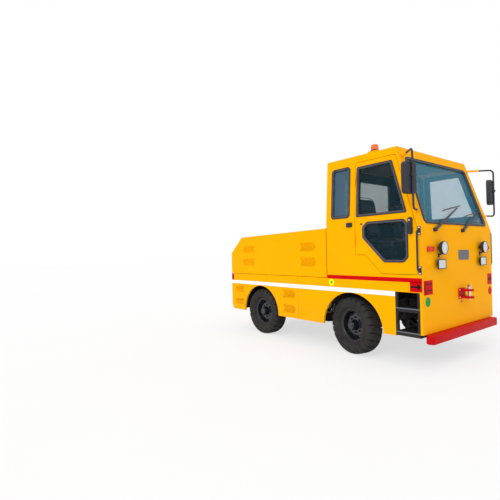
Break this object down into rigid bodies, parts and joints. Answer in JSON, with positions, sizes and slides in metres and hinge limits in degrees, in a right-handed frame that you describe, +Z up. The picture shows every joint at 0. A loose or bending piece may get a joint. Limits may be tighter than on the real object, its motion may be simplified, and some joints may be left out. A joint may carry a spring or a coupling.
{
  "type": "airport baggage tug",
  "caption": "Battery-operated airport baggage tug: towing tractor with a two-seat cab with leaning windscreen, hinged doors, tilting battery hood, steered front wheels and tow jaws.",
  "frame": {"origin": "on the ground under the middle of the vehicle", "axes": "+X forward, +Y to the driver's left, +Z up"},
  "size_m": [3.8896, 2.3254, 2.6939],
  "materials": {
    "yellow_paint": "gloss paint",
    "chassis_paint": "satin paint",
    "red_paint": "gloss paint",
    "wheel_paint": "gloss paint",
    "tyre_rubber": "matt",
    "seal_rubber": "matt",
    "window_glass": "clear tinted",
    "black_plastic": "fine grain",
    "seat_vinyl": "black vinyl",
    "lamp_lens": "clear",
    "signal_lens": "red lens",
    "beacon_lens": "orange lens",
    "pin_steel": "zinc plated",
    "battery_grey": "satin",
    "axle_iron": "painted"
  },
  "bodies": {
    "root": {"chassis_rails": "chassis_paint", "chassis_bulkheads": "chassis_paint", "battery_pack": "battery_grey", "side_skirt_right": "yellow_paint", "side_skirt_left": "yellow_paint", "rear_panel": "yellow_paint", "hood_deck": "chassis_paint", "cab_floor": "chassis_paint", "cab_front": "yellow_paint", "cab_side_right": "yellow_paint", "cab_side_left": "yellow_paint", "cab_rear_wall": "yellow_paint", "cab_roof": "yellow_paint", "cab_glass": "window_glass", "window_seals": "seal_rubber", "entry_steps": "chassis_paint", "grab_rails": "chassis_paint", "mirror_arms": "chassis_paint", "mirror_heads": "black_plastic", "wipers": "black_plastic", "front_bumper": "red_paint", "tow_jaws": "red_paint", "lamp_housings": "black_plastic", "lamp_lenses": "lamp_lens", "signal_lamps": "signal_lens", "beacon": "beacon_lens", "seat_cushions": "seat_vinyl", "seat_bases": "chassis_paint", "steering_wheel": "black_plastic", "dashboard": "black_plastic", "front_axle": "axle_iron", "rear_axle": "axle_iron", "leaf_springs": "axle_iron"},
    "door_right": {"door_right": "yellow_paint", "door_trim_right": "seal_rubber", "door_glass_right": "window_glass"},
    "door_left": {"door_left": "yellow_paint", "door_trim_left": "seal_rubber", "door_glass_left": "window_glass"},
    "battery_hood": {"battery_hood": "yellow_paint"},
    "knuckle_right": {"knuckle_right": "axle_iron"},
    "knuckle_left": {"knuckle_left": "axle_iron"},
    "tie_rod": {"tie_rod": "axle_iron"},
    "wheel_front_right": {"tyre_front_right": "tyre_rubber", "rim_front_right": "wheel_paint"},
    "wheel_front_left": {"tyre_front_left": "tyre_rubber", "rim_front_left": "wheel_paint"},
    "wheel_rear_right": {"tyre_rear_right": "tyre_rubber", "rim_rear_right": "wheel_paint"},
    "wheel_rear_left": {"tyre_rear_left": "tyre_rubber", "rim_rear_left": "wheel_paint"},
    "tow_pin_front": {"tow_pin_front": "pin_steel"},
    "tow_pin_rear": {"tow_pin_rear": "pin_steel"}
  },
  "joints": [
    {"name": "door_right_hinge", "type": "hinge", "parent": "root", "child": "door_right", "pos_m": [0.928, -0.946, 1.496], "axis": [0, -0.0454, -0.999], "range_deg": [0, 160]},
    {"name": "door_left_hinge", "type": "hinge", "parent": "root", "child": "door_left", "pos_m": [0.928, 0.946, 1.496], "axis": [0, -0.0454, 0.999], "range_deg": [0, 160]},
    {"name": "hood_hinge", "type": "hinge", "parent": "root", "child": "battery_hood", "pos_m": [-1.814, 0, 1.028], "axis": [0, -1, 0], "range_deg": [0, 60]},
    {"name": "steer_right", "type": "hinge", "parent": "root", "child": "knuckle_right", "pos_m": [0.825, -0.64, 0.3725], "axis": [0, 0, 1], "range_deg": [-22, 42]},
    {"name": "steer_left", "type": "hinge", "parent": "root", "child": "knuckle_left", "pos_m": [0.825, 0.64, 0.3725], "axis": [0, 0, 1], "range_deg": [-22, 42]},
    {"name": "tie_rod_pivot", "type": "hinge", "parent": "knuckle_right", "child": "tie_rod", "pos_m": [0.66743, -0.61222, 0.3725], "axis": [0, 0, 1], "range_deg": [-42, 22]},
    {"name": "spin_front_right", "type": "hinge", "parent": "knuckle_right", "child": "wheel_front_right", "pos_m": [0.80138, -0.77393, 0.3725], "axis": [0.1736, 0.9848, 0], "continuous": true},
    {"name": "spin_front_left", "type": "hinge", "parent": "knuckle_left", "child": "wheel_front_left", "pos_m": [0.84862, 0.77393, 0.3725], "axis": [0.1736, 0.9848, 0], "continuous": true},
    {"name": "spin_rear_right", "type": "hinge", "parent": "root", "child": "wheel_rear_right", "pos_m": [-1, -0.776, 0.3725], "axis": [0, 1, 0], "continuous": true},
    {"name": "spin_rear_left", "type": "hinge", "parent": "root", "child": "wheel_rear_left", "pos_m": [-1, 0.776, 0.3725], "axis": [0, 1, 0], "continuous": true},
    {"name": "pin_front_lift", "type": "slide", "parent": "root", "child": "tow_pin_front", "axis": [0, 0, 1], "range_m": [0, 0.16]},
    {"name": "pin_rear_lift", "type": "slide", "parent": "root", "child": "tow_pin_rear", "axis": [0, 0, 1], "range_m": [0, 0.16]}
  ],
  "couplings": [
    {"joint": "steer_left", "follows": "steer_right", "ratio": 1},
    {"joint": "tie_rod_pivot", "follows": "steer_right", "ratio": -1}
  ]
}
